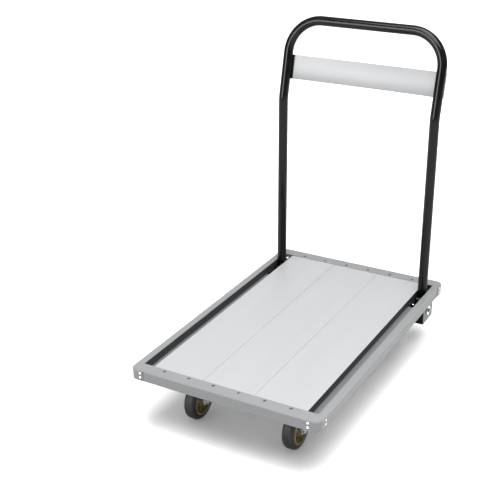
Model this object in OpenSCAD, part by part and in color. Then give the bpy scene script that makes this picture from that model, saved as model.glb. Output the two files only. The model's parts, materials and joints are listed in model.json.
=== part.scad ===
// Flatbed platform truck with a folding tube handle, swivel rear casters and a toe-lift release bar.
// Millimetres. X to the right seen from the front, Y back towards the handle, Z up, ground at z = 0.

/* [Deck] */
// overall width over the side rails
deck_w = 610; // [570:1:700]
// overall length over the cross rails
deck_l = 984; // [900:1:1150]
// height of the rail tops above the ground
deck_h = 206; // [206:1:240]
// height of the edge rails
frame_h = 33; // [33:1:38]
// width of the side rails' top flange
side_flange = 22; // [18:1:26]
// width of the cross rails' top flange
end_flange = 41; // [38:1:50]
// clear width of each handle trough
slot_w = 34; // [34:1:37]
// rail wall thickness
rail_t = 2.5; // [2:0.1:3]

/* [Handle] */
// outside diameter of the handle tube
tube_d = 31.8; // [28:0.1:32]
// wall of the handle tube
tube_t = 2; // [1.5:0.1:2.5]
// distance of the uprights' centreline in front of the deck's rear edge
tube_back = 94; // [90:1:100]
// height of the kink above the deck
kink_h = 596.5; // [450:0.5:650]
// lean of the part above the kink, in degrees
lean = 13; // [6:0.5:16]
// length from the kink to the top bar's centreline
top_len = 264; // [240:1:300]
// radius of the two top corners
corner_r = 109.5; // [70:0.5:112]
// height of the panel
panel_h = 80; // [50:1:90]
// distance from the kink to the panel's lower edge
panel_s = 66.5; // [50:0.5:75]
// how far the panel bows back at its middle
panel_bow = 20; // [8:1:26]
// thickness of the panel
panel_t = 1.6; // [1.2:0.1:2.5]

/* [Wheels] */
// wheel diameter
wheel_d = 125; // [110:1:125]
// tyre width
tyre_w = 38; // [30:1:40]
// distance between the left and right wheel centres
track = 328; // [300:1:336]
// distance of the front axles behind the front edge
front_in = 147; // [140:1:170]
// distance of the rear swivel axes in front of the rear edge
rear_in = 172; // [172:1:200]
// caster trail
trail = 30; // [24:1:32]

/* [Release bar] */
// rod diameter
rod_d = 12; // [10:0.5:13]
// distance of the rod's axis in front of the rear edge
rod_back = 68; // [66:1:72]
// depth of the rod's axis below the rail tops
rod_drop = 82; // [78:1:84]
// how far the low span hangs below the axis
bar_drop = 32; // [24:1:34]

/* [Hidden] */
$fn = 48;
e = 0.01;
hw = deck_w / 2;
hl = deck_l / 2;
rb = deck_h - frame_h;                 // underside of the rails
flange_t = 2;
plank_h = 25;
plank_top = deck_h - flange_t;
floor_z = plank_top - plank_h;         // trough floor and plank seat
floor_t = 2;
slot_o = hw - side_flange;             // outer wall of the trough
slot_i = slot_o - slot_w;              // plank side of the trough
slot_c = (slot_o + slot_i) / 2;
end_y = hl - end_flange;
seam = 0.6;
plank_w = (2 * slot_i - 2 * seam) / 3;
plank_l = 2 * (hl - rail_t - 1);
plank_web = 2;
rebate = 0.3;                          // the plank ends are this much lower under the flange
run = 0.05;                            // running clearance
lap = 0.3;                             // overlap of a straight run into a bend
slim = 0.15;                           // bends are this much thinner than straight runs
fit = 0.1;                             // assembly clearance

// screws and rivets
screw_n = 6;
screw_pitch = (2 * slot_i - 88) / (screw_n - 1);
screw_y = hl - 30;
rivet_front = hw - 34.5;
rivet_side = hl - 36.4;
rivet_z = [deck_h - 7.5, deck_h - 21.5];
cap_t = 1.6;
cap_r = 22;
cap_front = 43;
cap_side = 53;

// casters
wr = wheel_d / 2;
wx = track / 2;
fy = -(hl - front_in);
ry = hl - rear_in;
member_h = 16;
member_w = 92;
mz = floor_z - floor_t - member_h;     // underside of the cross members
plate_t = 3;
plate_x = 104;
plate_y = 84;
bolt_x = 40;
bolt_y = 30;
leg_t = 3;
fork_in = tyre_w + 6;                  // gap between the fork legs
axle_r = 5;
boss_r = 14;
hub_r = wr - 15.6;
crown_z = mz - plate_t - 7;
wheel_y = ry - trail;

// handle
tr = tube_d / 2;
ty = hl - tube_back;
fold_z = floor_z + 0.3 + tr;           // tube centreline when folded
pivot_d = 18;
py = ty - pivot_d;
pz = fold_z - pivot_d;
kz = deck_h + kink_h;
kink_r = 120;
kink_t = kink_r * tan(lean / 2);
foot_top = pz + 12.8;
panel_x = slot_i - 3;                  // the panel's bow ends this far from the centre
tail_r = 50;
tail_t = slot_w - 8;
lug_w = 20;
pin_r = 5;

// bracket
plate_b = floor_z - floor_t;           // top of the bracket's floor plate
bk_t = 2.5;
bk_w = slot_w - 2;
bk_y0 = py + 1;
bk_y1 = bk_y0 + 88;
bk_z0 = deck_h - 118;
fp_t = 3;
fp_y0 = end_y - 161;
cut_y0 = end_y - 137;
rod_r = rod_d / 2;
ry0 = hl - rod_back;
rz0 = deck_h - rod_drop;
bar_x = 162;
bar_up = 210;
bar_back = 6;

alu = [0.80, 0.81, 0.82];
alu_dark = [0.66, 0.67, 0.68];
zinc = [0.72, 0.73, 0.75];
black = [0.06, 0.06, 0.065];
rubber = [0.05, 0.05, 0.05];
olive = [0.33, 0.28, 0.10];
steel = [0.62, 0.62, 0.64];

// ---------- helpers ----------

// solid from a profile in X and Z, running along Y from y0 to y1
module along_y(y0, y1) {
  translate([0, y1, 0]) rotate([90, 0, 0]) linear_extrude(y1 - y0) children();
}

// solid from a profile in Y and Z, running along X from x0 to x1
module along_x(x0, x1) {
  translate([x0, 0, 0]) rotate([90, 0, 90]) linear_extrude(x1 - x0) children();
}

module rod_x(x0, x1, y, z, r) {
  translate([x0, y, z]) rotate([0, 90, 0]) cylinder(h = x1 - x0, r = r);
}

module rod_y(x, y0, y1, z, r) {
  translate([x, y0, z]) rotate([-90, 0, 0]) cylinder(h = y1 - y0, r = r);
}

module box(x0, x1, y0, y1, z0, z1) {
  translate([x0, y0, z0]) cube([x1 - x0, y1 - y0, z1 - z0]);
}

// low domed rivet head with its face at the origin, pointing along +Z
module rivet_head(r, h) {
  intersection() {
    translate([0, 0, h - (r * r + h * h) / (2 * h)]) sphere(r = (r * r + h * h) / (2 * h));
    cylinder(h = 2 * h, r = r);
  }
}

module hex(af, h) {
  cylinder(h = h, r = af / sqrt(3), $fn = 6);
}

module ring(ro, ri, h) {
  difference() {
    cylinder(h = h, r = ro);
    translate([0, 0, -1]) cylinder(h = h + 2, r = ri);
  }
}

// point of tangency from p = [y, z] to a circle of radius r at the origin, side s
function tang(p, r, s) =
  let (d = norm(p), a = atan2(p[1], p[0]) + s * acos(r / d)) [r * cos(a), r * sin(a)];

// ---------- deck ----------

module plank(xc) {
  color(alu) difference() {
    box(xc - plank_w / 2, xc + plank_w / 2, -plank_l / 2, plank_l / 2, floor_z, plank_top);
    for (i = [0 : 2])
      let (cw = (plank_w - 4 * plank_web) / 3, x0 = xc - plank_w / 2 + plank_web + i * (cw + plank_web))
        box(x0, x0 + cw, -plank_l / 2 - 1, plank_l / 2 + 1, floor_z + plank_web, plank_top - plank_web);
    for (s = [-1, 1], i = [0 : screw_n - 1])
      translate([(i - (screw_n - 1) / 2) * screw_pitch, s * screw_y, plank_top - 5])
        cylinder(h = 10, r = 2.4 + fit);
    for (s = [-1, 1])
      translate([xc - plank_w, s > 0 ? end_y - rebate : -plank_l / 2 - 1, plank_top - rebate])
        cube([2 * plank_w, plank_l / 2 + 1 - end_y + rebate, 1]);
  }
}

module plank_left() { plank(-(plank_w + seam)); }
module plank_centre() { plank(0); }
module plank_right() { plank(plank_w + seam); }

// front cross rail; the rear one is its mirror image
module cross_rail() {
  color(alu_dark) difference() {
    union() {
      box(-slot_o, slot_o, -hl, -hl + rail_t, rb, plank_top + e);
      box(-slot_o, slot_o, -hl, -hl + 12, rb, rb + 2);
      box(-(slot_i - 16), slot_i - 16, -hl, -hl + end_flange - 5, floor_z - floor_t, floor_z);
      // top flange with the two rounded corners
      difference() {
        box(-hw, hw, -hl, -end_y, plank_top, deck_h);
        for (s = [-1, 1])
          difference() {
            translate([s * hw, -hl, plank_top - 1])
              translate([s > 0 ? -cap_r : -1, -1, 0]) cube([cap_r + 1, cap_r + 1, flange_t + 2]);
            translate([s * (hw - cap_r), -hl + cap_r, plank_top - 2])
              cylinder(h = flange_t + 4, r = cap_r);
          }
      }
    }
    for (i = [0 : screw_n - 1])
      translate([(i - (screw_n - 1) / 2) * screw_pitch, -screw_y, plank_top - 1])
        cylinder(h = flange_t + 2, r = 2.4 + fit);
    for (s = [-1, 1], z = rivet_z)
      rod_y(s * rivet_front, -hl - 1, -hl + rail_t + 1, z, 2 + fit);
  }
}

module rail_front() { cross_rail(); }
module rail_rear() { mirror([0, 1, 0]) cross_rail(); }

// right side rail; the left one is its mirror image
module side_rail() {
  yl = hl - cap_r;
  color(alu_dark) difference() {
    union() {
      along_y(-yl, yl) union() {
        translate([hw - rail_t, rb]) square([rail_t, frame_h]);
        translate([slot_o, deck_h - 2.2]) square([side_flange, 2.2]);
        translate([slot_o, floor_z - floor_t]) square([2, deck_h - floor_z + floor_t]);
        translate([slot_i - 14, floor_z - floor_t]) square([hw - slot_i + 14, floor_t]);
        translate([hw - 5, rb]) square([5, 2]);
      }
    }
    // the top gives way to the cross rails' flange
    for (s = [-1, 1])
      box(slot_i - 20, hw + 1, s > 0 ? end_y : -hl, s > 0 ? hl : -end_y, plank_top, deck_h + 1);
    // floor cut-out over the bracket
    box(slot_i, slot_o, cut_y0, end_y, floor_z - floor_t - 1, floor_z + 1);
    // pilot holes for the bracket screws
    for (y = bracket_screw_y())
      translate([bracket_screw_x(), y, floor_z - floor_t - 1]) cylinder(h = floor_t + 2, r = 2.5 + fit);
    for (s = [-1, 1], z = rivet_z)
      rod_x(hw - rail_t - 1, hw + 1, s * rivet_side, z, 2 + fit);
  }
}

function bracket_screw_x() = slot_o + 3.5 + 6;
function plate_screw_x() = slot_i + 7;
function plate_screw_y() = cut_y0 + 28;
function bracket_screw_y() = [fp_y0 + 14, fp_y0 + 80, end_y - 22];

module rail_right() { side_rail(); }
module rail_left() { mirror([1, 0, 0]) side_rail(); }

// front right corner cap
module cap() {
  color(alu) difference() {
    union() {
      box(hw - cap_front, hw - cap_r, -hl - cap_t, -hl, rb + 0.5, deck_h - 1);
      box(hw, hw + cap_t, -hl + cap_r, -hl + cap_side, rb + 0.5, deck_h - 1);
      translate([hw - cap_r, -hl + cap_r, rb + 0.5])
        rotate([0, 0, -90]) rotate_extrude(angle = 90)
          translate([cap_r, 0]) square([cap_t, frame_h - 1.5]);
    }
    for (z = rivet_z) {
      rod_y(rivet_front, -hl - cap_t - 1, -hl + 1, z, 2 + fit);
      rod_x(hw - 1, hw + cap_t + 1, -rivet_side, z, 2 + fit);
    }
  }
}

module cap_front_right() { cap(); }
module cap_front_left() { mirror([1, 0, 0]) cap(); }
module cap_rear_right() { mirror([0, 1, 0]) cap(); }
module cap_rear_left() { mirror([1, 0, 0]) mirror([0, 1, 0]) cap(); }

module deck_screws() {
  color(steel) for (s = [-1, 1], i = [0 : screw_n - 1])
    translate([(i - (screw_n - 1) / 2) * screw_pitch, s * screw_y, deck_h]) {
      difference() {
        rivet_head(5, 1.6);
        translate([0, 0, 0.7]) cylinder(h = 2, r = 1.6, $fn = 6);
      }
      translate([0, 0, -8]) cylinder(h = 8.2, r = 2.4);
    }
}

module cap_rivets() {
  color(steel) for (sx = [-1, 1], sy = [-1, 1], z = rivet_z) {
    translate([sx * rivet_front, sy * (hl + cap_t), z]) rotate([sy > 0 ? -90 : 90, 0, 0]) {
      rivet_head(3.6, 1.3);
      translate([0, 0, -5.5]) cylinder(h = 5.7, r = 2);
    }
    translate([sx * (hw + cap_t), sy * rivet_side, z]) rotate([0, sx > 0 ? 90 : -90, 0]) {
      rivet_head(3.6, 1.3);
      translate([0, 0, -5.5]) cylinder(h = 5.7, r = 2);
    }
  }
}

// ---------- underside ----------

// hollow cross member at y with its ends at height top and a pad up to the planks
module member(y, top) {
  xl = hw - 20;
  y0 = y - member_w / 2;
  y1 = y + member_w / 2;
  color(alu_dark) difference() {
    union() {
      box(-xl, xl, y0, y1, mz, top);
      box(-(slot_i - 14.5), slot_i - 14.5, y0, y1, top - 1, floor_z);
    }
    box(-xl - 1, xl + 1, y0 + 2.5, y1 - 2.5, mz + 2.5, top - 2.5);
    for (s = [-1, 1], i = [-1, 1], j = [-1, 1])
      translate([s * wx + i * bolt_x, y + j * bolt_y, mz - 1]) cylinder(h = 5, r = 4 + fit);
    // holes for the screws through the brackets' floor plates
    if (top < plate_b)
      for (s = [-1, 1]) translate([s * plate_screw_x(), plate_screw_y(), top - 5])
        cylinder(h = 10, r = 2.5 + fit);
  }
}

module member_front() { member(fy, plate_b); }
module member_rear() { member(ry, plate_b - fp_t); }

module caster_bolts() {
  color(zinc) for (y = [fy, ry], s = [-1, 1], i = [-1, 1], j = [-1, 1])
    translate([s * wx + i * bolt_x, y + j * bolt_y, mz - plate_t]) {
      translate([0, 0, -5.3]) hex(13, 5.3);
      translate([0, 0, -e]) cylinder(h = plate_t + 7, r = 4);
    }
}

module plate_2d() {
  difference() {
    square([plate_x, plate_y], center = true);
    for (i = [-1, 1], j = [-1, 1]) translate([i * bolt_x, j * bolt_y]) circle(r = 4 + fit);
    for (i = [-1, 1], j = [-1, 1])
      translate([i * plate_x / 2, j * plate_y / 2]) difference() {
        square(16, center = true);
        translate([-i * 8, -j * 8]) circle(r = 8);
      }
  }
}

// side plate of a fork: from the top edge y0..y1 at height zt down to the boss at [yb, wr]
module fork_leg(y0, y1, zt, yb) {
  p = tang([y0 - yb, zt - wr], boss_r, 1);
  q = tang([y1 - yb, zt - wr], boss_r, -1);
  difference() {
    union() {
      polygon([[y0, zt], [p[0] + yb, p[1] + wr], [yb, wr], [q[0] + yb, q[1] + wr], [y1, zt]]);
      translate([yb, wr]) circle(r = boss_r);
    }
    translate([yb, wr]) circle(r = axle_r + fit);
  }
}

module fork_legs(x, y0, y1, zt, yb) {
  for (s = [-1, 1])
    along_x(x + s * (fork_in / 2 + leg_t / 2) - leg_t / 2, x + s * (fork_in / 2 + leg_t / 2) + leg_t / 2)
      fork_leg(y0, y1, zt, yb);
}

module fork_fixed(x) {
  color(zinc) union() {
    translate([x, fy, mz - plate_t]) linear_extrude(plate_t) plate_2d();
    fork_legs(x, fy - 30, fy + 30, mz - plate_t + e, fy);
    box(x - fork_in / 2 - e, x + fork_in / 2 + e, fy - 26, fy + 26, mz - plate_t - 3, mz - plate_t + e);
  }
}

module fork_front_left() { fork_fixed(-wx); }
module fork_front_right() { fork_fixed(wx); }

// axle bolt with its head on the outboard side
module axle(s, y) {
  xo = wx + fork_in / 2 + leg_t;
  color(zinc) mirror([s > 0 ? 0 : 1, 0, 0]) union() {
    rod_x(xo - fork_in - 2 * leg_t - 10, xo + e, y, wr, axle_r);
    translate([xo, y, wr]) rotate([0, 90, 0]) hex(17, 6);
  }
}

module axle_nut(s, y) {
  xi = wx - fork_in / 2 - leg_t;
  color(zinc) mirror([s > 0 ? 0 : 1, 0, 0]) translate([xi, y, wr]) rotate([0, -90, 0]) difference() {
    hex(17, 8);
    translate([0, 0, -1]) cylinder(h = 10, r = axle_r + run);
  }
}

module axles_front() { for (s = [-1, 1]) axle(s, fy); }
module axle_nuts_front() { for (s = [-1, 1]) axle_nut(s, fy); }

// top plate of a swivel caster with its pressed race
module plate_swivel(x) {
  color(zinc) difference() {
    union() {
      translate([x, ry, mz - plate_t]) linear_extrude(plate_t) plate_2d();
      translate([x, ry, mz - plate_t - 6.5]) cylinder(h = 6.5 + e, r = 28);
    }
    translate([x, ry, mz - 20]) cylinder(h = 30, r = 6 + fit);
  }
}

module plate_rear_left() { plate_swivel(-wx); }
module plate_rear_right() { plate_swivel(wx); }

module kingpins() {
  color(steel) for (s = [-1, 1]) translate([s * wx, ry, 0]) {
    translate([0, 0, crown_z - 9.3]) hex(17, 5);
    translate([0, 0, crown_z - 5]) cylinder(h = mz - crown_z + 5, r = 6);
  }
}

module fork_swivel(x) {
  color(zinc) difference() {
    union() {
      fork_legs(x, wheel_y - 8, ry + 26, crown_z, wheel_y);
      box(x - fork_in / 2 - leg_t, x + fork_in / 2 + leg_t, wheel_y - 8, ry + 26, crown_z - 4, crown_z);
      translate([x, ry, crown_z - 4]) cylinder(h = 4, r = 31);
      translate([x, ry, crown_z - e]) ring(31, 28.6, 4);
    }
    translate([x, ry, crown_z - 10]) cylinder(h = 20, r = 6 + run);
  }
}

module fork_rear_left() { fork_swivel(-wx); }
module axle_rear_left() { axle(-1, wheel_y); }
module nut_rear_left() { axle_nut(-1, wheel_y); }
module fork_rear_right() { fork_swivel(wx); }
module axle_rear_right() { axle(1, wheel_y); }
module nut_rear_right() { axle_nut(1, wheel_y); }

// ---------- wheels ----------

module tyre(x, y) {
  c = 12;
  color(rubber) translate([x, y, wr]) rotate([0, 90, 0]) rotate_extrude() intersection() {
    union() {
      translate([hub_r, -tyre_w / 2]) square([wr - c - hub_r, tyre_w]);
      translate([wr - c - e, -tyre_w / 2 + c]) square([c + e, tyre_w - 2 * c]);
      translate([wr - c, tyre_w / 2 - c]) circle(r = c);
      translate([wr - c, -tyre_w / 2 + c]) circle(r = c);
    }
    translate([hub_r, -tyre_w]) square([wr, 2 * tyre_w]);
  }
}

module hub(x, y) {
  bore = 8;
  color(olive) translate([x, y, wr]) rotate([0, 90, 0]) difference() {
    union() {
      rotate_extrude() union() {
        // rim with its two beads
        translate([hub_r - 4, -tyre_w / 2 + 2]) square([3.9, tyre_w - 4]);
        translate([hub_r - 6, tyre_w / 2 - 4]) square([5.9, 4.8]);
        translate([hub_r - 6, -tyre_w / 2 - 0.8]) square([5.9, 4.8]);
        // disc and boss
        translate([bore, -3]) square([hub_r - 3 - bore, 6]);
        translate([bore, -tyre_w / 2 - 1]) square([8, tyre_w + 2]);
      }
      for (i = [0 : 7]) rotate([0, 0, i * 45 + 22.5])
        translate([bore + 4, -1.5, -tyre_w / 2 + 5]) cube([hub_r - 7 - bore, 3, tyre_w - 10]);
    }
    translate([0, 0, -50]) cylinder(h = 100, r = bore + e);
  }
}

module bush(x, y) {
  color(steel) translate([x - fork_in / 2 + 0.4, y, wr]) rotate([0, 90, 0])
    ring(7.95, axle_r + run, fork_in - 0.8);
}

module tyre_front_left() { tyre(-wx, fy); }
module hub_front_left() { hub(-wx, fy); }
module bush_front_left() { bush(-wx, fy); }
module tyre_front_right() { tyre(wx, fy); }
module hub_front_right() { hub(wx, fy); }
module bush_front_right() { bush(wx, fy); }
module tyre_rear_left() { tyre(-wx, wheel_y); }
module hub_rear_left() { hub(-wx, wheel_y); }
module bush_rear_left() { bush(-wx, wheel_y); }
module tyre_rear_right() { tyre(wx, wheel_y); }
module hub_rear_right() { hub(wx, wheel_y); }
module bush_rear_right() { bush(wx, wheel_y); }

// ---------- handle ----------

// children are placed in the leaning frame above the kink: x across, y to the rear, z up the lean
module lean_frame() {
  translate([0, ty, kz]) rotate([-lean, 0, 0]) children();
}

// one side of the bent tube at radius r; over is extra length at the open foot
module tube_side(s, r, over) {
  straight = top_len - corner_r - kink_t;
  translate([s * slot_c, ty, foot_top - over]) cylinder(h = kz - kink_t - foot_top + over + lap, r = r);
  translate([s * slot_c, ty + kink_r, kz - kink_t]) rotate([90, 0, -90])
    rotate_extrude(angle = lean) translate([kink_r, 0]) circle(r = r - slim);
  lean_frame() {
    translate([s * slot_c, 0, kink_t - lap]) cylinder(h = straight + 2 * lap, r = r);
    translate([s * (slot_c - corner_r), 0, top_len - corner_r]) rotate([90, 0, 0])
      rotate([0, 0, s > 0 ? 0 : 90]) rotate_extrude(angle = 90)
        translate([corner_r, 0]) circle(r = r - slim);
  }
}

module tube_path(r, over) {
  tube_side(-1, r, over);
  tube_side(1, r, over);
  lean_frame() rod_x(-(slot_c - corner_r) - lap, slot_c - corner_r + lap, 0, top_len, r);
}

function panel_rivet_s() = [panel_s + 18, panel_s + panel_h - 18];

module handle_tube() {
  color(black) difference() {
    tube_path(tr, 0);
    tube_path(tr - tube_t, 1);
    lean_frame() for (s = [-1, 1], z = panel_rivet_s())
      rod_y(s * slot_c, tr - tube_t - 3, tr + 3, z, 2.4 + fit);
  }
}

// bar welded along the inner rear side of a tube, in the corner of the panel's step
module tab(s) {
  x0 = panel_x + panel_t + fit;
  color(black) lean_frame() mirror([s > 0 ? 0 : 1, 0, 0]) difference() {
    box(x0, slot_c - tr / 2, tr * 0.4, tr - fit, panel_s, panel_s + panel_h);
    translate([slot_c, 0, panel_s - 1]) cylinder(h = panel_h + 2, r = tr + run);
  }
}

module tab_left() { tab(-1); }
module tab_right() { tab(1); }

// panel: flat end flanges on the rear of the tubes, a small step forward, then a shallow bow
module panel_profile() {
  xs = panel_x;
  step = 4;
  y0 = tr - step;
  bow_r = (xs * xs + panel_bow * panel_bow) / (2 * panel_bow);
  for (s = [-1, 1]) {
    translate([s > 0 ? xs : -slot_c - 13, tr]) square([slot_c + 13 - xs, panel_t]);
    translate([s > 0 ? xs : -xs - panel_t, y0 - 0.4]) square([panel_t, step + panel_t + 0.4]);
  }
  intersection() {
    difference() {
      translate([0, y0 + panel_bow - bow_r]) circle(r = bow_r + panel_t, $fn = 720);
      translate([0, y0 + panel_bow - bow_r]) circle(r = bow_r, $fn = 720);
    }
    translate([-xs - panel_t / 2, y0 - 0.2]) square([2 * xs + panel_t, panel_bow + panel_t + 1]);
  }
}

module panel() {
  color(alu) lean_frame() difference() {
    translate([0, 0, panel_s]) linear_extrude(panel_h) panel_profile();
    for (s = [-1, 1], z = panel_rivet_s())
      rod_y(s * slot_c, tr - 1, tr + panel_t + 1, z, 2.4 + fit);
  }
}

module panel_rivets() {
  color(steel) lean_frame() for (s = [-1, 1], z = panel_rivet_s())
    translate([s * slot_c, tr + panel_t, z]) rotate([-90, 0, 0]) {
      rivet_head(4.5, 1.8);
      translate([0, 0, -panel_t - tube_t - 1]) cylinder(h = panel_t + tube_t + 1.2, r = 2.4);
    }
}

// foot: plug in the tube, collar, pivot eye and latch tail
module foot(s) {
  color(black) translate([s * slot_c, 0, 0]) difference() {
    union() {
      translate([0, ty, foot_top - e]) cylinder(h = 24, r = tr - tube_t - fit);
      translate([0, ty, foot_top - 3]) cylinder(h = 3, r = tr);
      along_x(-tail_t / 2, tail_t / 2) intersection() {
        union() {
          translate([ty - lug_w / 2, pz - 60]) square([lug_w, foot_top - pz + 57.5]);
          translate([py, pz]) circle(r = foot_top - pz - 2.8);
          translate([py, pz - 8]) square([ty - py, foot_top - pz + 5.2]);
        }
        translate([py, pz]) circle(r = tail_r);
      }
    }
    rod_x(-tail_t, tail_t, py, pz, pin_r + run);
  }
}

module foot_left() { foot(-1); }
module foot_right() { foot(1); }

// ---------- pivot brackets and release bar ----------

module bracket(s) {
  xa = bk_w / 2;
  color(black) mirror([s > 0 ? 0 : 1, 0, 0]) difference() {
    union() {
      // floor plate under the side rail
      box(slot_i - 12, slot_o + 16, fp_y0, bk_y1, plate_b - fp_t, plate_b);
      // box section below it
      translate([slot_c, 0, 0]) box(-xa, xa, bk_y0, bk_y1, bk_z0, plate_b - fp_t + e);
      // cheeks with the ears for the pivot pin
      for (k = [-1, 1])
        along_x(slot_c + k * (xa - bk_t / 2) - bk_t / 2, slot_c + k * (xa - bk_t / 2) + bk_t / 2)
          union() {
            polygon([[py - 12, pz - 16], [bk_y0 + 1, bk_z0 + 40], [bk_y0 + 1, plate_b], [py + 12, plate_b],
              [py + 12, pz], [py + 6, pz + 9], [py - 6, pz + 9], [py - 12, pz]]);
          }
    }
    // inside of the box, open at the bottom and through the floor plate
    translate([slot_c, 0, 0]) box(-xa + bk_t, xa - bk_t, bk_y0 + bk_t, bk_y1 - bk_t, bk_z0 - 1, plate_b + 1);
    translate([slot_c, 0, 0]) box(-xa + bk_t, xa - bk_t, py - 17, bk_y0 + bk_t + 1, pz - 18, plate_b + 1);
    // upright slot in the rear web
    translate([slot_c, 0, 0]) box(-4, 4, bk_y1 - bk_t - 1, bk_y1 + 1, bk_z0 + 12, bk_z0 + 48);
    rod_x(slot_i - 5, slot_o + 5, ry0, rz0, rod_r + run);
    rod_x(slot_i - 5, slot_o + 5, py, pz, pin_r + fit);
    for (y = bracket_screw_y())
      translate([bracket_screw_x(), y, plate_b - 10]) cylinder(h = 20, r = 2.5 + fit);
    translate([plate_screw_x(), plate_screw_y(), plate_b - 10]) cylinder(h = 20, r = 2.5 + fit);
  }
}

module bracket_left() { bracket(-1); }
module bracket_right() { bracket(1); }

module bracket_screws() {
  color(zinc) for (s = [-1, 1]) mirror([s > 0 ? 0 : 1, 0, 0]) {
    for (y = bracket_screw_y()) translate([bracket_screw_x(), y, plate_b - fp_t]) {
      rotate([180, 0, 0]) hex(8, 3.5);
      translate([0, 0, -e]) cylinder(h = fp_t + floor_t + 3, r = 2.5);
    }
    translate([plate_screw_x(), plate_screw_y(), plate_b]) {
      rivet_head(4.6, 2);
      translate([0, 0, -fp_t - 2]) cylinder(h = fp_t + 2.2, r = 2.5);
    }
  }
}

module pivot_pins() {
  color(zinc) for (s = [-1, 1])
    rod_x(s * slot_c - bk_w / 2 - 0.5, s * slot_c + bk_w / 2 + 0.5, py, pz, pin_r);
}

// one bent arm of the release rod: end on the axis, bend, sloping leg and bend to the low span
module bar_arm(s, drop) {
  slope = atan2(drop, bar_up - bar_x);
  br = 18;
  bt = br * tan(slope / 2);
  leg = norm([bar_up - bar_x, drop]);
  mirror([s > 0 ? 0 : 1, 0, 0]) {
    rod_x(bar_up + bt - lap, slot_o - 0.7, 0, 0, rod_r);
    translate([bar_up + bt, 0, -br]) rotate([90, 0, 0]) rotate([0, 0, 90])
      rotate_extrude(angle = slope) translate([br, 0]) circle(r = rod_r - slim);
    translate([bar_up, 0, 0]) rotate([0, -90 - slope, 0]) translate([0, 0, bt - lap])
      cylinder(h = leg - 2 * bt + 2 * lap, r = rod_r);
    translate([bar_x - bt, 0, br - drop]) rotate([90, 0, 0]) rotate([0, 0, -90])
      rotate_extrude(angle = slope) translate([br, 0]) circle(r = rod_r - slim);
  }
}

module release_bar() {
  drop = norm([bar_drop, bar_back]);
  span = bar_x - 18 * tan(atan2(drop, bar_up - bar_x) / 2) + lap;
  color(zinc) translate([0, ry0, rz0]) rotate([atan2(bar_back, bar_drop), 0, 0]) union() {
    bar_arm(-1, drop);
    bar_arm(1, drop);
    rod_x(-span, span, 0, -drop, rod_r);
  }
}

// latch pawl under the tail's round end
module pawl(s) {
  x0 = s > 0 ? -1 : -11;
  nose = tail_r + 0.5;
  color(zinc) translate([s * slot_c, 0, 0]) difference() {
    along_x(x0, x0 + 12) difference() {
      union() {
        translate([ry0, rz0]) circle(r = rod_r + 4);
        translate([py + 12, rz0 - 9]) square([ry0 - py - 12, 9]);
        translate([py + 12, rz0 - 1]) square([10, 12]);
      }
      translate([py, pz]) circle(r = nose);
    }
    rod_x(-20, 20, ry0, rz0, rod_r + run);
  }
}

module pawl_left() { pawl(-1); }
module pawl_right() { pawl(1); }

module bar_washers() {
  color(zinc) for (s = [-1, 1]) mirror([s > 0 ? 0 : 1, 0, 0])
    translate([slot_o - 0.7, ry0, rz0]) rotate([0, 90, 0]) cylinder(h = 2.5, r = 17);
}

module bar_screws() {
  color(steel) for (s = [-1, 1]) mirror([s > 0 ? 0 : 1, 0, 0])
    translate([slot_o + 1.8, ry0, rz0]) rotate([0, 90, 0]) hex(13, 5);
}

// torsion springs round the rod inside the brackets
module latch_springs() {
  wire = 0.9;
  coil_r = rod_r + 3;
  color(steel) for (s = [-1, 1])
    translate([s * (slot_c - 7), ry0, rz0]) union() {
      rotate([0, 90, 0]) rotate_extrude() union() {
        for (i = [-2 : 2]) translate([coil_r, i * 1.6]) circle(r = wire);
        translate([coil_r - 0.5, -3.2]) square([1, 6.4]);
      }
      // leg to the rear web
      translate([0, 0, coil_r + 0.2]) rotate([-90, 0, 0]) cylinder(h = bk_y1 - bk_t - ry0, r = wire - 0.1);
    }
}

// ---------- parts ----------

plank_left();
plank_centre();
plank_right();
rail_front();
rail_rear();
rail_left();
rail_right();
cap_front_left();
cap_front_right();
cap_rear_left();
cap_rear_right();
deck_screws();
cap_rivets();
member_front();
member_rear();
caster_bolts();
fork_front_left();
fork_front_right();
axles_front();
axle_nuts_front();
plate_rear_left();
plate_rear_right();
kingpins();
fork_rear_left();
axle_rear_left();
nut_rear_left();
fork_rear_right();
axle_rear_right();
nut_rear_right();
tyre_front_left();
hub_front_left();
bush_front_left();
tyre_front_right();
hub_front_right();
bush_front_right();
tyre_rear_left();
hub_rear_left();
bush_rear_left();
tyre_rear_right();
hub_rear_right();
bush_rear_right();
handle_tube();
tab_left();
tab_right();
panel();
panel_rivets();
foot_left();
foot_right();
bracket_left();
bracket_right();
bracket_screws();
pivot_pins();
release_bar();
pawl_left();
pawl_right();
bar_washers();
bar_screws();
latch_springs();
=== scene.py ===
import json
import math
import bmesh
import bpy
from mathutils import Matrix, Vector


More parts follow.
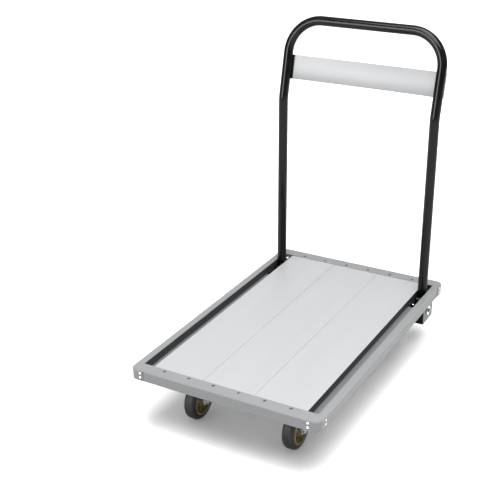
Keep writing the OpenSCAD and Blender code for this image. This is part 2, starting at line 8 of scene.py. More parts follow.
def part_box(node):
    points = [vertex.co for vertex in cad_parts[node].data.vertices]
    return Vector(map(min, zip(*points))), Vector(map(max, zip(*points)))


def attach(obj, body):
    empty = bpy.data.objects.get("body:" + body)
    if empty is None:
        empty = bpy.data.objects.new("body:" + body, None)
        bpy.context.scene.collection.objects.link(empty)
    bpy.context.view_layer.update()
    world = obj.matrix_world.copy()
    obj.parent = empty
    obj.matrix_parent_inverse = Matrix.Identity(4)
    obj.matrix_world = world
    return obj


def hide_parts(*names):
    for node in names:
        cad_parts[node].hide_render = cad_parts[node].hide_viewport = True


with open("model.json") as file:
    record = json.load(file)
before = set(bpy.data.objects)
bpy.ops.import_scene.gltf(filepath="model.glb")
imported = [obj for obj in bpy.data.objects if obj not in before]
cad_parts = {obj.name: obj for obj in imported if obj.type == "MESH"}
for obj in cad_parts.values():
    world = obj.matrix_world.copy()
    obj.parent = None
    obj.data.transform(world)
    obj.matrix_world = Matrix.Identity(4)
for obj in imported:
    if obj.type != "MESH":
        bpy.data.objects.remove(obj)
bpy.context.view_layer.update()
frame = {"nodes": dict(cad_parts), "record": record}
SLOT_OF = {s["node"]: s["material_slot"] for s in frame["record"]["subparts"]}
BODY_OF = {n: b for b, ns in frame["record"]["behaviour"]["bodies"].items() for n in ns}
MM = 0.001
ENDS = ("front", "rear")
SIDES = ("left", "right")

# ---------------------------------------------------------------- sizes, in millimetres
TUBE_X = (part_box("foot_right")[0].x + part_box("foot_right")[1].x) / 2 / MM
TUBE_R = 15.9
TUBE_BORE_R = 14.0
TUBE_Y = 398.0
TUBE_Z = 190.0
KINK_Z = 802.5
KINK_BEND = 120.0
CORNER_BEND = 109.5
LEAN = math.radians(13)
TOP_S = 264.0
PANEL_EDGE = 246.0
PANEL_FOOT, PANEL_TOP = 66.5, 146.5
PANEL_SHEET = 1.6
PANEL_BOW = 20.0
PANEL_STEP = 4.0
WHEEL_R = (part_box("tyre_front_left")[1].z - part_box("tyre_front_left")[0].z) / 2 / MM
TYRE_W = 38.0
RIM_R = WHEEL_R - 15.6
BAR_Y, BAR_Z = 424.0, 124.0
BAR_R = 6.0
BAR_DROP = 32
BAR_BEND = 18
SPRING_R, SPRING_WIRE, SPRING_TURNS, SPRING_WIDE = 9, 0.75, 4.25, 6.4
DECK_TOP = 206.0


# ---------------------------------------------------------------- mesh helpers
def new_piece(name, shape, bodyname, slot, stands_for, smooth=35):
    """A visual piece from a bmesh, or from a finished mesh that already has its normals."""
    mesh = shape
    if isinstance(shape, bmesh.types.BMesh):
        mesh = bpy.data.meshes.new(name)
        shape.to_mesh(mesh)
        shape.free()
        shade(mesh, smooth)
    mesh.materials.clear()
    mesh.materials.append(FINISH[slot])
    piece = bpy.data.objects.new(name, mesh)
    bpy.context.scene.collection.objects.link(piece)
    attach(piece, bodyname)
    if stands_for:
        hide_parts(*stands_for)
    return piece


def shade(mesh, degrees):
    """Smooth shading with edges sharper than the given angle kept crisp."""
    for p in mesh.polygons:
        p.use_smooth = True
    bm = bmesh.new()
    bm.from_mesh(mesh)
    for e in bm.edges:
        e.smooth = len(e.link_faces) == 2 and e.calc_face_angle(0) < math.radians(degrees)
    bm.to_mesh(mesh)
    bm.free()


def outward(bm):
    bmesh.ops.remove_doubles(bm, verts=bm.verts, dist=1e-7)
    bmesh.ops.recalc_face_normals(bm, faces=bm.faces)


def filleted(corners, radii, step=3.0):
    """A polyline in millimetres through corners, each inner corner rounded to its radius."""
    pts = [Vector(corners[0])]
    for k in range(1, len(corners) - 1):
        c = Vector(corners[k])
        a = (Vector(corners[k - 1]) - c).normalized()
        b = (Vector(corners[k + 1]) - c).normalized()
        half = a.angle(b) / 2
        reach = radii[k - 1] / math.tan(half)
        mid = c + (a + b).normalized() * radii[k - 1] / math.sin(half)
        s, e = c + a * reach - mid, c + b * reach - mid
        n = max(4, int(s.angle(e) * radii[k - 1] / step))
        axis = s.cross(e).normalized()
        for i in range(n + 1):
            pts.append(mid + Matrix.Rotation(s.angle(e) * i / n, 3, axis) @ s)
    pts.append(Vector(corners[-1]))
    return pts


def sweep(bm, pts, radius, n=32, ends=None):
    """A round bar along pts; ends is a list of (extra length, radius) rings that close each end."""
    rings = []
    tangent = [(pts[min(i + 1, len(pts) - 1)] - pts[max(i - 1, 0)]).normalized()
               for i in range(len(pts))]
    side = tangent[0].orthogonal().normalized()
    for p, t in zip(pts, tangent):
        side = (side - t * side.dot(t)).normalized()
        up = t.cross(side)
        rings.append([bm.verts.new((p + (side * math.cos(a) + up * math.sin(a)) * radius) * MM)
                      for a in (2 * math.pi * k / n for k in range(n))])
    for lo, hi in zip(rings, rings[1:]):
        for k in range(n):
            bm.faces.new((lo[k], lo[(k + 1) % n], hi[(k + 1) % n], hi[k]))
    for ring, p, t, sign in ((rings[0], pts[0], tangent[0], -1), (rings[-1], pts[-1], tangent[-1], 1)):
        last = ring
        for out, r in ends or ():
            nxt = [bm.verts.new((p + (Vector(v.co) / MM - p).normalized() * r + t * sign * out) * MM)
                   for v in ring]
            for k in range(n):
                bm.faces.new((last[k], last[(k + 1) % n], nxt[(k + 1) % n], nxt[k]))
            last = nxt
        bm.faces.new(last)


def turned(bm, profile, centre, n=96):
    """A closed (radius, along X) profile turned about the X axis through centre."""
    c = Vector(centre)
    rings = []
    for k in range(n):
        a = 2 * math.pi * k / n
        rings.append([bm.verts.new((c + Vector((x, r * math.cos(a), r * math.sin(a)))) * MM)
                      for r, x in profile])
    m = len(profile)
    for k in range(n):
        lo, hi = rings[k], rings[(k + 1) % n]
        for i in range(m):
            bm.faces.new((lo[i], lo[(i + 1) % m], hi[(i + 1) % m], hi[i]))


def arc(cr, cx, r, a0, a1, n):
    return [(cr + r * math.cos(math.radians(a0 + (a1 - a0) * i / n)),
             cx + r * math.sin(math.radians(a0 + (a1 - a0) * i / n))) for i in range(n + 1)]


# ---------------------------------------------------------------- materials
def colour(hex_code):
    """sRGB hex to a linear RGBA tuple."""
    c = [int(hex_code[i:i + 2], 16) / 255 for i in (1, 3, 5)]
    return tuple(v / 12.92 if v <= 0.04045 else ((v + 0.055) / 1.055) ** 2.4 for v in c) + (1.0,)


def add(tree, kind, settings=None, **links):
    """Adds a node; settings fill properties or sockets, links join sockets by name."""
    node = tree.nodes.new(kind)
    for key, value in (settings or {}).items():
        if isinstance(key, int) or key in node.inputs:
            node.inputs[key].default_value = value
        else:
            setattr(node, key, value)
    for key, source in links.items():
        name = key.replace("_", " ")
        socket = node.inputs[int(key[1:])] if key[1:].isdigit() else node.inputs[name]
        tree.links.new(source, socket)
    return node


def started(name):
    mat = bpy.data.materials.new(name)
    mat.use_nodes = True
    tree = mat.node_tree
    shader = tree.nodes["Principled BSDF"]
    place = add(tree, "ShaderNodeTexCoord").outputs["Object"]
    return mat, tree, shader, place


def stretched(tree, place, grain_mm, ratio):
    """Object coordinates scaled so that one noise cell is grain_mm across and long along one axis."""
    scale = tuple(1000 / grain_mm / r for r in ratio)
    return add(tree, "ShaderNodeMapping", {"Scale": scale}, Vector=place).outputs["Vector"]


def ramp(tree, fac, stops):
    node = add(tree, "ShaderNodeValToRGB", None, Fac=fac)
    el = node.color_ramp.elements
    el[0].position, el[0].color = stops[0][0], stops[0][1]
    el[1].position, el[1].color = stops[-1][0], stops[-1][1]
    for pos, col in stops[1:-1]:
        el.new(pos).color = col
    return node.outputs["Color"]


def number_ramp(tree, fac, lo, hi, start=0.3, end=0.7):
    """Maps fac from start..end to lo..hi."""
    return add(tree, "ShaderNodeMapRange", {1: start, 2: end, 3: lo, 4: hi}, _0=fac).outputs[0]


def painted_trough_and_wall_shade(tree, place, tone, trough_shade, wall_shade):
    """Painted shade where the brushed face ends: the trough colour darkens the handle troughs' walls,
    the wall colour the other faces that lie below the flanges."""
    split = add(tree, "ShaderNodeSeparateXYZ", None, Vector=place).outputs
    across = add(tree, "ShaderNodeMath", {"operation": "ABSOLUTE"}, _0=split["X"]).outputs[0]
    length = add(tree, "ShaderNodeMath", {"operation": "ABSOLUTE"}, _0=split["Y"]).outputs[0]
    low = number_ramp(tree, split["Z"], 0.0, 1.0, 0.2037, 0.2031)
    deep = number_ramp(tree, split["Z"], 0.0, 1.0, 0.1793, 0.1800)
    deep = add(tree, "ShaderNodeMath", {"operation": "MULTIPLY"}, _0=deep, _1=low).outputs[0]
    for value, out, into in ((across, 0.2838, 0.2828), (across, 0.2478, 0.2484), (length, 0.4520, 0.4500)):
        inside = number_ramp(tree, value, 0.0, 1.0, out, into)
        deep = add(tree, "ShaderNodeMath", {"operation": "MULTIPLY"}, _0=deep, _1=inside).outputs[0]
    # painted shade: each mask blends the tone towards its darker colour
    for mask, painted_shade_colour in ((low, wall_shade), (deep, trough_shade)):
        if painted_shade_colour:
            blend = add(tree, "ShaderNodeMix", {"data_type": "RGBA"}, Factor=mask)
            tree.links.new(tone, blend.inputs[6])
            blend.inputs[7].default_value = colour(painted_shade_colour)
            tone = blend.outputs[2]
    return tone


def brushed_aluminium(name, light, dark, rough, along, metal, grain_mm=0.6, trough_shade=None, wall_shade=None):
    """Extruded, brushed and clear anodised aluminium: fine lines along the profile and faint cloudy tone."""
    mat, tree, shader, place = started(name)
    ratio = [1, 1, 1]
    ratio["XYZ".index(along)] = 160
    lines = add(tree, "ShaderNodeTexNoise", {"Scale": 1.0, "Detail": 4.0, "Roughness": 0.65},
                Vector=stretched(tree, place, grain_mm, ratio)).outputs["Fac"]
    # drawn tone bands a few centimetres wide, as from the extrusion die
    ratio["XYZ".index(along)] = 12
    bands = add(tree, "ShaderNodeTexNoise", {"Scale": 1.0, "Detail": 2.0},
                Vector=stretched(tree, place, 45, ratio)).outputs["Fac"]
    mix = add(tree, "ShaderNodeMix", {"data_type": "FLOAT", "Factor": 0.5}, A=lines, B=bands).outputs[0]
    tone = ramp(tree, mix, [(0.32, colour(dark)), (0.68, colour(light))])
    # painted shade: darker tone on the trough walls and on the faces below the flanges
    if trough_shade:
        tone = painted_trough_and_wall_shade(tree, place, tone, trough_shade, wall_shade)
    tree.links.new(tone, shader.inputs["Base Color"])
    tree.links.new(number_ramp(tree, lines, rough - 0.04, rough + 0.05), shader.inputs["Roughness"])
    bump = add(tree, "ShaderNodeBump", {"Strength": 0.05, "Distance": 0.00003}, Height=lines)
    tree.links.new(bump.outputs["Normal"], shader.inputs["Normal"])
    shader.inputs["Metallic"].default_value = metal
    return mat


def powder_coat():
    """Gloss black powder coat on steel tube and plate: orange peel about 1.5 mm across, thin dust in it."""
    mat, tree, shader, place = started("gloss black powder-coated steel")
    peel = add(tree, "ShaderNodeTexNoise", {"Scale": 1000 / 1.5, "Detail": 2.0}, Vector=place).outputs["Fac"]
    haze = add(tree, "ShaderNodeTexNoise", {"Scale": 1000 / 60, "Detail": 3.0}, Vector=place).outputs["Fac"]
    tone = ramp(tree, haze, [(0.35, colour("#030303")), (0.7, colour("#0a0a0b"))])
    tree.links.new(tone, shader.inputs["Base Color"])
    tree.links.new(number_ramp(tree, haze, 0.10, 0.16), shader.inputs["Roughness"])
    bump = add(tree, "ShaderNodeBump", {"Strength": 0.05, "Distance": 0.0002}, Height=peel)
    tree.links.new(bump.outputs["Normal"], shader.inputs["Normal"])
    shader.inputs["Specular IOR Level"].default_value = 0.16
    return mat


def zinc_plate(name, light, dark, rough):
    """Bright zinc plated pressed steel: crystalline patches a few millimetres wide and rolling marks."""
    mat, tree, shader, place = started(name)
    spangle = add(tree, "ShaderNodeTexVoronoi", {"Scale": 1000 / 4.5}, Vector=place).outputs["Color"]
    cloud = add(tree, "ShaderNodeTexNoise", {"Scale": 1000 / 18, "Detail": 4.0}, Vector=place).outputs["Fac"]
    grey = add(tree, "ShaderNodeRGBToBW", None, Color=spangle).outputs[0]
    mix = add(tree, "ShaderNodeMix", {"data_type": "FLOAT", "Factor": 0.7}, A=grey, B=cloud).outputs[0]
    tone = ramp(tree, mix, [(0.3, colour(dark)), (0.7, colour(light))])
    tree.links.new(tone, shader.inputs["Base Color"])
    tree.links.new(number_ramp(tree, mix, rough - 0.06, rough + 0.10), shader.inputs["Roughness"])
    bump = add(tree, "ShaderNodeBump", {"Strength": 0.08, "Distance": 0.0001}, Height=cloud)
    tree.links.new(bump.outputs["Normal"], shader.inputs["Normal"])
    shader.inputs["Metallic"].default_value = 1.0
    return mat


def rubber_tread():
    """Moulded black rubber: fine 0.7 mm grain, slightly greyer where it is scuffed."""
    mat, tree, shader, place = started("moulded black rubber")
    grain = add(tree, "ShaderNodeTexNoise", {"Scale": 1000 / 0.7, "Detail": 3.0}, Vector=place).outputs["Fac"]
    scuff = add(tree, "ShaderNodeTexNoise", {"Scale": 1000 / 14, "Detail": 5.0, "Roughness": 0.6},
                Vector=place).outputs["Fac"]
    tone = ramp(tree, scuff, [(0.38, colour("#101011")), (0.72, colour("#26262a"))])
    tree.links.new(tone, shader.inputs["Base Color"])
    tree.links.new(number_ramp(tree, scuff, 0.48, 0.66), shader.inputs["Roughness"])
    bump = add(tree, "ShaderNodeBump", {"Strength": 0.2, "Distance": 0.0002}, Height=grain)
    tree.links.new(bump.outputs["Normal"], shader.inputs["Normal"])
    shader.inputs["Specular IOR Level"].default_value = 0.3
    return mat


def nylon_hub():
    """Injection moulded ochre nylon: waxy, flow marks a centimetre wide, faint matt texture."""
    mat, tree, shader, place = started("ochre moulded nylon")
    flow = add(tree, "ShaderNodeTexNoise", {"Scale": 1000 / 11, "Detail": 3.0, "Distortion": 0.6},
               Vector=place).outputs["Fac"]
    fine = add(tree, "ShaderNodeTexNoise", {"Scale": 1000 / 0.9, "Detail": 2.0}, Vector=place).outputs["Fac"]
    tone = ramp(tree, flow, [(0.3, colour("#5c5330")), (0.7, colour("#7b7149"))])
    tree.links.new(tone, shader.inputs["Base Color"])
    tree.links.new(number_ramp(tree, flow, 0.40, 0.52), shader.inputs["Roughness"])
    bump = add(tree, "ShaderNodeBump", {"Strength": 0.1, "Distance": 0.0001}, Height=fine)
    tree.links.new(bump.outputs["Normal"], shader.inputs["Normal"])
    shader.inputs["Subsurface Weight"].default_value = 0.04
    return mat


FINISH = {
    # the trough and wall colours are painted shade, darker where less light reaches
    "anodised_aluminium": brushed_aluminium("brushed anodised aluminium plank", "#a7a8a9", "#a2a3a4", 0.46,
                                            "Y", metal=0.45, trough_shade="#3c3d3e"),
    "frame_aluminium": brushed_aluminium("extruded aluminium rail", "#848586", "#7e7f80", 0.46, "Y",
                                         grain_mm=0.9, metal=0.4, trough_shade="#2a2b2c", wall_shade="#6b6c6d"),
    "panel_aluminium": brushed_aluminium("brushed aluminium sheet", "#838485", "#7c7d7e", 0.50, "X",
                                         grain_mm=0.7, metal=0.35),
    "screw_steel": zinc_plate("plain steel screw", "#6b6b6e", "#4c4c4f", 0.36),
    "rivet_steel": zinc_plate("bright aluminium rivet", "#e6e6e7", "#cfcfd1", 0.28),
    "zinc_steel": zinc_plate("bright zinc-plated steel", "#cfd1d4", "#a9acb1", 0.30),
    "spring_steel": zinc_plate("oiled spring steel", "#8d8e91", "#636468", 0.32),
    "bearing_steel": zinc_plate("ground bearing steel", "#b9babd", "#94969a", 0.24),
    "black_coating": powder_coat(),
    "rubber": rubber_tread(),
    "hub_nylon": nylon_hub(),
}
for name, node in frame["nodes"].items():
    node.data.materials.clear()
    node.data.materials.append(FINISH[SLOT_OF[name]])


# ---------------------------------------------------------------- pressed and extruded parts with eased edges
def eased(name, width, turn=32):
    """A copy of a frame node with its sharp edges rounded by width millimetres."""
    bm = bmesh.new()
    bm.from_mesh(frame["nodes"][name].data)
    bmesh.ops.remove_doubles(bm, verts=bm.verts, dist=2e-6)
    bmesh.ops.dissolve_limit(bm, angle_limit=math.radians(0.5), verts=bm.verts, edges=bm.edges)
    mesh = bpy.data.meshes.new(name + "_raw")
    bm.to_mesh(mesh)
    bm.free()
    shade(mesh, turn)
    raw = bpy.data.objects.new(name + "_raw", mesh)
    bpy.context.scene.collection.objects.link(raw)
    bevel = raw.modifiers.new("edge", "BEVEL")
    bevel.width, bevel.segments, bevel.limit_method = width * MM, 2, "ANGLE"
    bevel.angle_limit = math.radians(turn)
    bevel.use_clamp_overlap = True
    bevel.miter_outer = "MITER_ARC"
    bevel.harden_normals = True
    done = bpy.data.meshes.new_from_object(raw.evaluated_get(bpy.context.evaluated_depsgraph_get()))
    bpy.data.objects.remove(raw)
    return new_piece(name + "_eased", done, BODY_OF[name], SLOT_OF[name], [name])


for name, width in (
    [(f"plank_{p}", 0.6) for p in ("left", "centre", "right")]
    + [(f"rail_{p}", 0.5) for p in ENDS + SIDES]
    + [(f"cap_{a}_{b}", 0.4) for a in ENDS for b in SIDES]
    + [(f"member_{a}", 0.8) for a in ENDS]
    + [(f"fork_{a}_{b}", 0.7) for a in ENDS for b in SIDES]
    + [(f"plate_rear_{b}", 0.7) for b in SIDES]
    + [(f"bracket_{b}", 0.7) for b in SIDES]
    + [(f"foot_{b}", 0.8) for b in SIDES]
    + [(f"pawl_{b}", 0.6) for b in SIDES]
    + [(f"tab_{b}", 0.5) for b in SIDES]
    + [(f"bush_{a}_{b}", 0.4) for a in ENDS for b in SIDES]
    + [(f"{a}_rear_{b}", 0.6) for a in ("axle", "nut") for b in SIDES]
    + [("axles_front", 0.6), ("axle_nuts_front", 0.6), ("caster_bolts", 0.5), ("kingpins", 0.6),
       ("bracket_screws", 0.4), ("bar_screws", 0.5), ("bar_washers", 0.5), ("pivot_pins", 0.6)]
):
    eased(name, width)


# ---------------------------------------------------------------- handle tube
def leaned(x, back, s):
    """A point of the leaning top part: back is off the tube's plane, s is along the lean, in millimetres."""
    return Vector((x, TUBE_Y + s * math.sin(LEAN) + back * math.cos(LEAN),
                   KINK_Z + s * math.cos(LEAN) - back * math.sin(LEAN)))


top = leaned(0, 0, TOP_S)
half = [(TUBE_X, TUBE_Y, TUBE_Z), (TUBE_X, TUBE_Y, KINK_Z), (TUBE_X, top.y, top.z)]
corners = [Vector(c) for c in half] + [Vector((-c[0], c[1], c[2])) for c in reversed(half)]
bm = bmesh.new()
sweep(bm, filleted(corners, [KINK_BEND, CORNER_BEND, CORNER_BEND, KINK_BEND], 4.0),
      TUBE_R - 0.05, 48, [(0.0, TUBE_BORE_R)])
outward(bm)
new_piece("handle_hoop", bm, "handle", "black_coating", ["handle_tube"], smooth=50)

# ---------------------------------------------------------------- panel between the uprights
thick = PANEL_SHEET / 2
front = TUBE_R - PANEL_STEP
bow_r = (PANEL_EDGE ** 2 + PANEL_BOW ** 2) / (2 * PANEL_BOW)
line = [Vector((TUBE_X + 13, TUBE_R + thick, 0)), Vector((PANEL_EDGE + thick, TUBE_R + thick, 0)),
        Vector((PANEL_EDGE + thick, front + 0.6, 0))]
inner = [Vector((x, front + PANEL_BOW - bow_r + math.sqrt((bow_r + thick) ** 2 - x * x), 0))
         for x in (PANEL_EDGE - 2.5 - i * (2 * PANEL_EDGE - 5) / 60 for i in range(61))]
path = filleted([*line, inner[0]], [1.4, 0.9], 0.3)[:-1] + inner
path += [Vector((-p.x, p.y, 0)) for p in reversed(path[:-61])]
bm = bmesh.new()
loop = []
for i, p in enumerate(path):
    t = (path[min(i + 1, len(path) - 1)] - path[max(i - 1, 0)]).normalized()
    n = Vector((-t.y, t.x, 0))
    loop.append((p + n * thick, p - n * thick))
rows = []
for s in (PANEL_FOOT, PANEL_FOOT + 0.4, PANEL_TOP - 0.4, PANEL_TOP):
    ease = 0.25 / PANEL_SHEET if s in (PANEL_FOOT, PANEL_TOP) else 0.0
    rows.append([[bm.verts.new(leaned(*a.lerp(b, ease).xy, s) * MM),
                  bm.verts.new(leaned(*b.lerp(a, ease).xy, s) * MM)] for a, b in loop])
for lo, hi in zip(rows, rows[1:]):
    for i in range(len(path) - 1):
        for k in (0, 1):
            bm.faces.new((lo[i][k], lo[i + 1][k], hi[i + 1][k], hi[i][k]))
    for i in (0, -1):
        bm.faces.new((lo[i][0], lo[i][1], hi[i][1], hi[i][0]))
for row in (rows[0], rows[-1]):
    for i in range(len(path) - 1):
        bm.faces.new((row[i][0], row[i + 1][0], row[i + 1][1], row[i][1]))
outward(bm)
new_piece("handle_panel", bm, "handle", "panel_aluminium", ["panel"], smooth=40)


# ---------------------------------------------------------------- wheels
def tyre_profile():
    """Solid tyre: flat sides, rounded shoulders and a hair-fine mould line round the tread."""
    w, c = TYRE_W / 2, 12.0
    side = [(RIM_R, w - 1.0), (RIM_R + 0.6, w - 0.2), (RIM_R + 1.4, w)]
    side += arc(WHEEL_R - c - 0.15, w - c, c, 90, 0, 14)
    side += [(WHEEL_R - 0.12, 0.7), (WHEEL_R, 0.3)]
    return side + [(r, -x) for r, x in reversed(side)]


def rim_profile():
    """Rim with a rolled bead at each face, dished down to a thin disc and out again to the boss."""
    w = TYRE_W / 2
    half = [(7.99, 19.9), (8.6, 20.4), (14.6, 20.4), (15.6, 19.6), (16.4, 15.0), (17.6, 7.5), (20.0, 4.6),
            (23.5, 3.3), (34.5, 3.0), (38.0, 3.6), (40.0, 5.6), (40.8, 9.0), (41.0, w - 3.6),
            (41.2, w - 0.6), (42.0, w + 0.5), (43.2, w + 0.75), (45.2, w + 0.7), (46.3, w + 0.1),
            (46.8, w - 1.2)]
    return half + [(r, -x) for r, x in reversed(half)]


def hub_ribs(bm, centre):
    """Eight tapered ribs on each face, set into the disc, the rim and the boss."""
    for k in range(8):
        a = math.radians(45 * k + 22.5)
        for face in (-1, 1):
            ring = []
            for r, depth, wide in ((13.5, 17.6, 1.9), (24, 12.5, 1.5), (34, 12.5, 1.5), (42.2, 15.5, 1.9)):
                for off, up in ((-wide - 0.6, 1.0), (-wide, depth - 0.6), (-wide + 0.6, depth),
                                (wide - 0.6, depth), (wide, depth - 0.6), (wide + 0.6, 1.0)):
                    out = Vector((face * up, r * math.cos(a) - off * math.sin(a),
                                  r * math.sin(a) + off * math.cos(a)))
                    ring.append(bm.verts.new((Vector(centre) + out) * MM))
            for i in range(3):
                for j in range(6):
                    q = [i * 6 + j, i * 6 + (j + 1) % 6, (i + 1) * 6 + (j + 1) % 6, (i + 1) * 6 + j]
                    bm.faces.new([ring[v] for v in q])
            bm.faces.new(ring[:6])
            bm.faces.new(ring[18:])
    bmesh.ops.recalc_face_normals(bm, faces=bm.faces)


for axle in ENDS:
    for side in SIDES:
        low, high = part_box(f"tyre_{axle}_{side}")
        centre = ((low.x + high.x) / 2 / MM, (low.y + high.y) / 2 / MM, WHEEL_R)
        bm = bmesh.new()
        turned(bm, tyre_profile(), centre, 128)
        outward(bm)
        place = f"{axle}_{side}"
        new_piece(f"tyre_{place}_moulded", bm, f"wheel_{place}", "rubber", [f"tyre_{place}"])
        bm = bmesh.new()
        turned(bm, rim_profile(), centre, 96)
        outward(bm)
        hub_ribs(bm, centre)
        new_piece(f"hub_{place}_moulded", bm, f"wheel_{place}", "hub_nylon", [f"hub_{place}"])

# ---------------------------------------------------------------- release bar and springs
end_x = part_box("release_bar")[1].x / MM
half = [(end_x, BAR_Y, BAR_Z), (210, BAR_Y, BAR_Z), (162, BAR_Y + 6, BAR_Z - BAR_DROP)]
corners = [Vector(c) for c in half] + [Vector((-c[0], c[1], c[2])) for c in reversed(half)]
bm = bmesh.new()
sweep(bm, filleted(corners, [BAR_BEND] * 4, 1.2), BAR_R, 32, [(0.0, BAR_R - 1)])
outward(bm)
new_piece("release_rod", bm, "release", "zinc_steel", ["release_bar"], smooth=50)

bm = bmesh.new()
for sign in (-1, 1):
    x0 = sign * (TUBE_X - 7) - SPRING_WIDE / 2
    coil = []
    for i in range(121):
        a = 2 * math.pi * SPRING_TURNS * i / 120 + math.pi / 2
        coil.append(Vector((x0 + SPRING_WIDE * i / 120, BAR_Y + SPRING_R * math.cos(a),
                            BAR_Z + SPRING_R * math.sin(a))))
    coil.insert(0, coil[0] + Vector((0, 38, 0)))
    sweep(bm, coil, SPRING_WIRE, 10)
outward(bm)
new_piece("torsion_springs", bm, "chassis", "spring_steel", ["latch_springs"], smooth=60)


# ---------------------------------------------------------------- fasteners, placed by Geometry Nodes
def template(kind):
    """A screw's or a rivet's head in millimetres, its seat at z = 0 and its face towards +Z."""
    bm = bmesh.new()
    if kind == "screw":
        n = 48
        rings = [[(r, 1.6 * math.sqrt(1 - (r / 4.9) ** 2 * 0.93))] * n
                 for r in (4.9, 4.6, 4.0, 3.2, 2.6, 2.1, 1.6, 1.1, 0.6)]
        rings.insert(0, [(4.85, 0.0)] * n)
    else:
        n = 32
        rings = [[(r, z)] * n for r, z in ((3.55, 0), (3.6, 0.25), (3.3, 0.75), (2.7, 1.1), (1.9, 1.28),
                                           (1.25, 1.3), (1.1, 1.0), (1.05, 0.6), (0.5, 0.55))]
    verts = [[bm.verts.new((r * math.cos(2 * math.pi * k / n), r * math.sin(2 * math.pi * k / n), z))
              for k, (r, z) in enumerate(ring)] for ring in rings]
    if kind == "screw":
        # cross recess pressed into the head
        for ring in verts[4:]:
            for v in ring:
                a = math.atan2(v.co.y, v.co.x)
                if min(abs(math.cos(a)), abs(math.sin(a))) * math.hypot(v.co.x, v.co.y) < 0.55:
                    v.co.z -= 1.0
    for lo, hi in zip(verts, verts[1:]):
        for k in range(n):
            bm.faces.new((lo[k], lo[(k + 1) % n], hi[(k + 1) % n], hi[k]))
    bm.faces.new(verts[-1])
    bm.faces.new(list(reversed(verts[0])))
    bmesh.ops.recalc_face_normals(bm, faces=bm.faces)
    mesh = bpy.data.meshes.new(kind)
    bm.to_mesh(mesh)
    bm.free()
    obj = bpy.data.objects.new(kind, mesh)
    bpy.context.scene.collection.objects.link(obj)
    return obj


def placing_tree():
    """Geometry Nodes tree that puts a head on every point, turned to the point's own direction."""
    tree = bpy.data.node_groups.new("fastener heads", "GeometryNodeTree")
    face = tree.interface
    face.new_socket("Geometry", in_out="INPUT", socket_type="NodeSocketGeometry")
    face.new_socket("Head", in_out="INPUT", socket_type="NodeSocketObject")
    face.new_socket("Size", in_out="INPUT", socket_type="NodeSocketFloat")
    face.new_socket("Finish", in_out="INPUT", socket_type="NodeSocketMaterial")
    face.new_socket("Geometry", in_out="OUTPUT", socket_type="NodeSocketGeometry")
    source = tree.nodes.new("NodeGroupInput")
    sink = tree.nodes.new("NodeGroupOutput")
    head = add(tree, "GeometryNodeObjectInfo", None, Object=source.outputs["Head"])
    facing = add(tree, "GeometryNodeInputNamedAttribute", {"data_type": "FLOAT_VECTOR", "Name": "facing"})
    turn = add(tree, "FunctionNodeAlignRotationToVector", {"axis": "Z"}, Vector=facing.outputs[0])
    spin = add(tree, "GeometryNodeInputNamedAttribute", {"data_type": "FLOAT", "Name": "spin"})
    twist = add(tree, "FunctionNodeAxisAngleToRotation", {"Axis": (0, 0, 1)}, Angle=spin.outputs[0])
    both = add(tree, "FunctionNodeRotateRotation", {"rotation_space": "LOCAL"},
               Rotation=turn.outputs[0], Rotate_By=twist.outputs[0])
    placed = add(tree, "GeometryNodeInstanceOnPoints", None, Points=source.outputs["Geometry"],
                 Instance=head.outputs["Geometry"], Rotation=both.outputs[0], Scale=source.outputs["Size"])
    real = add(tree, "GeometryNodeRealizeInstances", None, Geometry=placed.outputs[0])
    done = add(tree, "GeometryNodeSetMaterial", None, Geometry=real.outputs[0],
               Material=source.outputs["Finish"])
    tree.links.new(done.outputs[0], sink.inputs[0])
    return tree


PLACING = placing_tree()
HEADS = {}


def fasteners(name, kind, points, bodyname, slot, stands_for=()):
    """points: (place in mm, direction, spin in degrees) of each head."""
    if kind not in HEADS:
        HEADS[kind] = template(kind)
    mesh = bpy.data.meshes.new(name + "_points")
    mesh.from_pydata([Vector(p) * MM for p, d, s in points], [], [])
    mesh.attributes.new("facing", "FLOAT_VECTOR", "POINT")
    mesh.attributes.new("spin", "FLOAT", "POINT")
    mesh.attributes["facing"].data.foreach_set("vector", [c for p, d, s in points for c in d])
    mesh.attributes["spin"].data.foreach_set("value", [math.radians(s) for p, d, s in points])
    holder = bpy.data.objects.new(name + "_points", mesh)
    bpy.context.scene.collection.objects.link(holder)
    mod = holder.modifiers.new("heads", "NODES")
    mod.node_group = PLACING
    ids = {s.name: s.identifier for s in PLACING.interface.items_tree if s.in_out == "INPUT"}
    mod[ids["Head"]] = HEADS[kind]
    mod[ids["Size"]] = MM
    mod[ids["Finish"]] = FINISH[slot]
    done = bpy.data.meshes.new_from_object(holder.evaluated_get(bpy.context.evaluated_depsgraph_get()))
    bpy.data.objects.remove(holder)
    bm = bmesh.new()
    bm.from_mesh(done)
    bpy.data.meshes.remove(done)
    return new_piece(name, bm, bodyname, slot, list(stands_for), smooth=40)


def spins(i):
    """The turn, in degrees, at which screw i happened to stop."""
    return (i * 67) % 60


screw_x = [-205 + 82 * i for i in range(6)]
screw_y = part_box("deck_screws")[1].y / MM - 5
fasteners("deck_screw_heads", "screw",
          [((x, s * screw_y, DECK_TOP), (0, 0, 1), spins(i + 3 * s))
           for s in (-1, 1) for i, x in enumerate(screw_x)],
          "chassis", "screw_steel", ["deck_screws"])
rivets = []
for sx in (-1, 1):
    for sy in (-1, 1):
        for z in (198.5, 184.5):
            rivets.append(((sx * 270.5, sy * 493.6, z), (0, sy, 0), 0))
            rivets.append(((sx * 306.6, sy * 455.6, z), (sx, 0, 0), 0))
fasteners("cap_rivet_heads", "rivet", rivets, "chassis", "rivet_steel", ["cap_rivets"])
back = Vector((0, math.cos(LEAN), -math.sin(LEAN)))
fasteners("panel_rivet_heads", "rivet",
          [(leaned(sx * TUBE_X, TUBE_R + PANEL_SHEET, s), back, 0) for sx in (-1, 1) for s in (84.5, 128.5)],
          "handle", "rivet_steel", ["panel_rivets"])


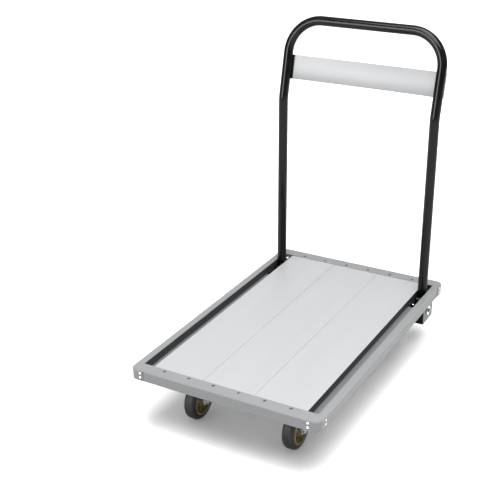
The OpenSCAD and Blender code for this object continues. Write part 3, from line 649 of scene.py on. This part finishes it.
# ---------------------------------------------------------------- floor, light and camera
def floor():
    mesh = bpy.data.meshes.new("studio_floor")
    mesh.from_pydata([(-40, -40, 0), (40, -40, 0), (40, 40, 0), (-40, 40, 0)], [], [(0, 1, 2, 3)])
    obj = bpy.data.objects.new("studio_floor", mesh)
    bpy.context.scene.collection.objects.link(obj)
    mat, tree, shader, place = started("matt pale floor")
    tone = add(tree, "ShaderNodeTexNoise", {"Scale": 3.0, "Detail": 3.0}, Vector=place).outputs["Fac"]
    tone = ramp(tree, tone, [(0.3, colour("#e6e6e6")), (0.7, colour("#e9e9e9"))])
    tree.links.new(tone, shader.inputs["Base Color"])
    shader.inputs["Roughness"].default_value = 0.9
    shader.inputs["Specular IOR Level"].default_value = 0.1
    # the floor glows, a little under the deck and fully from 3 m out, like an overlit studio sweep
    away = add(tree, "ShaderNodeVectorMath", {"operation": "LENGTH"}, _0=place).outputs["Value"]
    glow = add(tree, "ShaderNodeMapRange", {1: 0.9, 2: 3.0, 3: 0.1, 4: 0.9}, _0=away).outputs[0]
    shader.inputs["Emission Color"].default_value = colour("#ffffff")
    tree.links.new(glow, shader.inputs["Emission Strength"])
    mesh.materials.append(mat)


def softbox(name, place, aim, size, watts, matt=True):
    """An area light; with matt off it only shows as a reflection in glossy surfaces."""
    lamp = bpy.data.lights.new(name, "AREA")
    lamp.shape, lamp.size, lamp.size_y, lamp.energy = "RECTANGLE", size[0], size[1], watts
    obj = bpy.data.objects.new(name, lamp)
    bpy.context.scene.collection.objects.link(obj)
    obj.location = place
    obj.rotation_euler = (Vector(aim) - Vector(place)).to_track_quat("-Z", "Y").to_euler()
    obj.visible_diffuse = matt


floor()
softbox("overhead", (0.55, -0.7, 3.9), (0, 0, 0), (3.2, 3.2), 350)
softbox("card_front", (-1.3, -3.3, 1.8), (0, 0.4, 0.9), (2.0, 2.2), 165, matt=False)
# the studio's ceiling is bright and its walls fall off towards the floor
world = bpy.data.worlds.new("studio")
world.use_nodes = True
sky = world.node_tree
height = add(sky, "ShaderNodeSeparateXYZ", None,
             Vector=add(sky, "ShaderNodeTexCoord").outputs["Generated"]).outputs["Z"]
fall = ramp(sky, height, [(0.0, colour("#c8c8c8")), (0.35, colour("#f0f0f0")), (0.8, colour("#ffffff"))])
sky.links.new(fall, sky.nodes["Background"].inputs["Color"])
sky.nodes["Background"].inputs["Strength"].default_value = 0.75
bpy.context.scene.world = world
bpy.context.scene.view_settings.view_transform = "Standard"

azimuth, elevation, roll = (math.radians(v) for v in (28.966, 23.898, -0.221))
away = Vector((math.sin(azimuth) * math.cos(elevation), -math.cos(azimuth) * math.cos(elevation),
               math.sin(elevation)))
right = Vector((math.cos(azimuth), math.sin(azimuth), 0))
up = away.cross(right)
right, up = (right * math.cos(roll) + up * math.sin(roll), up * math.cos(roll) - right * math.sin(roll))
lens = bpy.data.cameras.new("camera")
lens.sensor_width, lens.lens = 36.0, 73.04
lens.clip_end = 100
camera = bpy.data.objects.new("camera", lens)
bpy.context.scene.collection.objects.link(camera)
camera.matrix_world = Matrix((right, up, away)).transposed().to_4x4()
camera.location = (1.2446, -2.5674, 1.7174)
bpy.context.scene.camera = camera

for head in HEADS.values():
    bpy.data.objects.remove(head)
